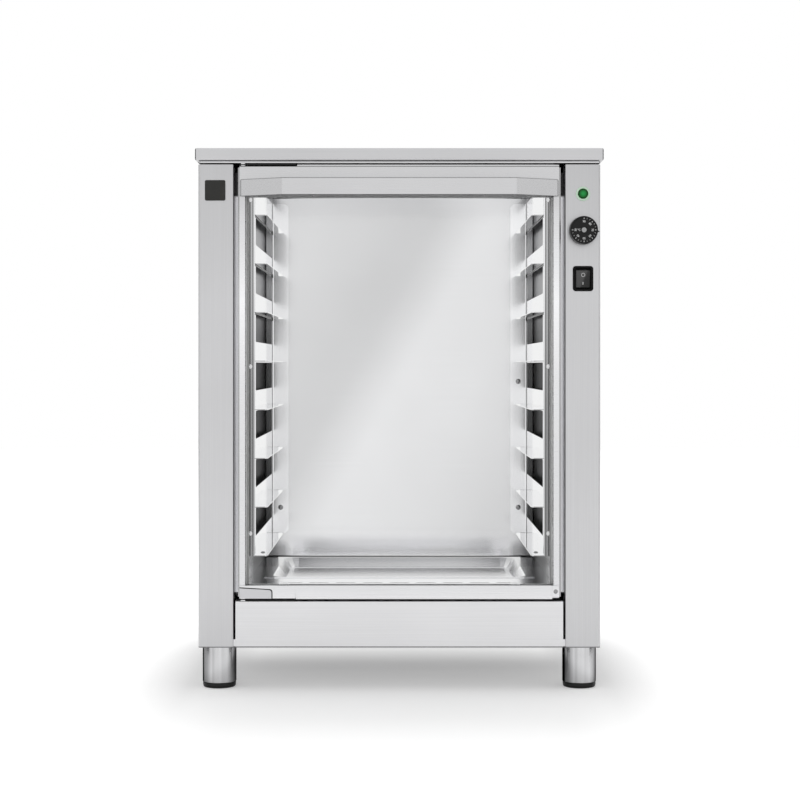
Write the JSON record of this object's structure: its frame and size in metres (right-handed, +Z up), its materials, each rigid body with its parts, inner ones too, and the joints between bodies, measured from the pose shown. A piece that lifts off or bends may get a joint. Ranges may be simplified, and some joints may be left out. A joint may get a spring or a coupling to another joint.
{
  "type": "proofing cabinet",
  "caption": "Undercounter proofing cabinet with a folded steel casing, side-hung glass door, bow handle, tray racks, water basin, thermostat knob, lamp, switch and levelling feet.",
  "frame": {"origin": "centre of the overall footprint on the floor, with the levelling feet screwed in", "axes": "+Z up, -Y out of the front towards the user, +X to the right as seen from the front"},
  "size_m": [0.6, 0.5946, 0.795],
  "materials": {
    "worktop_steel": "satin stainless sheet",
    "pillar_steel": "satin stainless sheet",
    "panel_steel": "satin stainless sheet",
    "chamber_steel": "brushed stainless sheet",
    "wall_steel": "brushed stainless sheet in shade",
    "rack_steel": "satin stainless sheet",
    "door_steel": "satin stainless sheet",
    "hinge_steel": "plain steel",
    "pin_steel": "bright turned steel",
    "leg_steel": "brushed tube",
    "door_glass": "clear",
    "gasket_rubber": "matte",
    "control_plastic": "black",
    "lamp_ring_plastic": "pale grey",
    "lamp_lens": "green translucent",
    "badge_plastic": "dark, bare",
    "foot_plastic": "black",
    "element_steel": "tarnished",
    "terminal_plastic": "off-white"
  },
  "bodies": {
    "cabinet": {"worktop": "worktop_steel", "roof_panel": "pillar_steel", "left_side_panel": "pillar_steel", "right_side_panel": "pillar_steel", "rear_panel": "panel_steel", "base_panel": "panel_steel", "lower_front_panel": "panel_steel", "chamber_left_wall": "wall_steel", "chamber_right_wall": "wall_steel", "chamber_back_wall": "chamber_steel", "chamber_ceiling": "chamber_steel", "chamber_sill": "chamber_steel", "chamber_floor": "chamber_steel", "tray_rack_left": "rack_steel", "tray_rack_right": "rack_steel", "upper_hinge_plate": "hinge_steel", "lower_hinge_plate": "hinge_steel", "upper_hinge_pin": "pin_steel", "lower_hinge_pin": "pin_steel", "lamp_ring": "lamp_ring_plastic", "lamp_lens": "lamp_lens", "thermostat_body": "control_plastic", "switch_housing": "control_plastic", "badge_plate": "badge_plastic", "heating_element": "element_steel", "element_bracket": "panel_steel", "terminal_block": "terminal_plastic", "cable_gland": "control_plastic", "leg_front_left": "leg_steel", "leg_front_right": "leg_steel", "leg_rear_left": "leg_steel", "leg_rear_right": "leg_steel"},
    "door": {"door_glass": "door_glass", "door_top_rail": "door_steel", "door_handle": "door_steel", "door_left_stile": "door_steel", "door_right_stile": "door_steel", "door_bottom_rail": "door_steel", "door_gasket": "gasket_rubber", "hinge_arm": "hinge_steel", "hinge_backing_plate": "door_steel", "rail_end_plate": "door_steel", "glass_clip_left": "pin_steel", "glass_clip_right": "pin_steel"},
    "knob": {"thermostat_knob": "control_plastic", "thermostat_shaft": "pin_steel"},
    "rocker": {"switch_rocker": "control_plastic"},
    "front_left_foot": {"foot_front_left": "foot_plastic"},
    "front_right_foot": {"foot_front_right": "foot_plastic"},
    "rear_left_foot": {"foot_rear_left": "foot_plastic"},
    "rear_right_foot": {"foot_rear_right": "foot_plastic"}
  },
  "joints": [
    {"name": "door_hinge", "type": "hinge", "parent": "cabinet", "child": "door", "pos_m": [-0.2295, -0.2638, 0.1343], "axis": [0, 0, -1], "range_deg": [0, 105]},
    {"name": "thermostat_turn", "type": "hinge", "parent": "cabinet", "child": "knob", "pos_m": [0.2695, -0.2706, 0.6738], "axis": [0, 1, 0], "range_deg": [-20, 260]},
    {"name": "switch_tilt", "type": "hinge", "parent": "cabinet", "child": "rocker", "pos_m": [0.2695, -0.2666, 0.6035], "axis": [-1, 0, 0], "range_deg": [0, 18]},
    {"name": "foot_front_left_screw", "type": "slide", "parent": "cabinet", "child": "front_left_foot", "axis": [0, 0, -1], "range_m": [0, 0.02]},
    {"name": "foot_front_right_screw", "type": "slide", "parent": "cabinet", "child": "front_right_foot", "axis": [0, 0, -1], "range_m": [0, 0.02]},
    {"name": "foot_rear_left_screw", "type": "slide", "parent": "cabinet", "child": "rear_left_foot", "axis": [0, 0, -1], "range_m": [0, 0.02]},
    {"name": "foot_rear_right_screw", "type": "slide", "parent": "cabinet", "child": "rear_right_foot", "axis": [0, 0, -1], "range_m": [0, 0.02]}
  ]
}
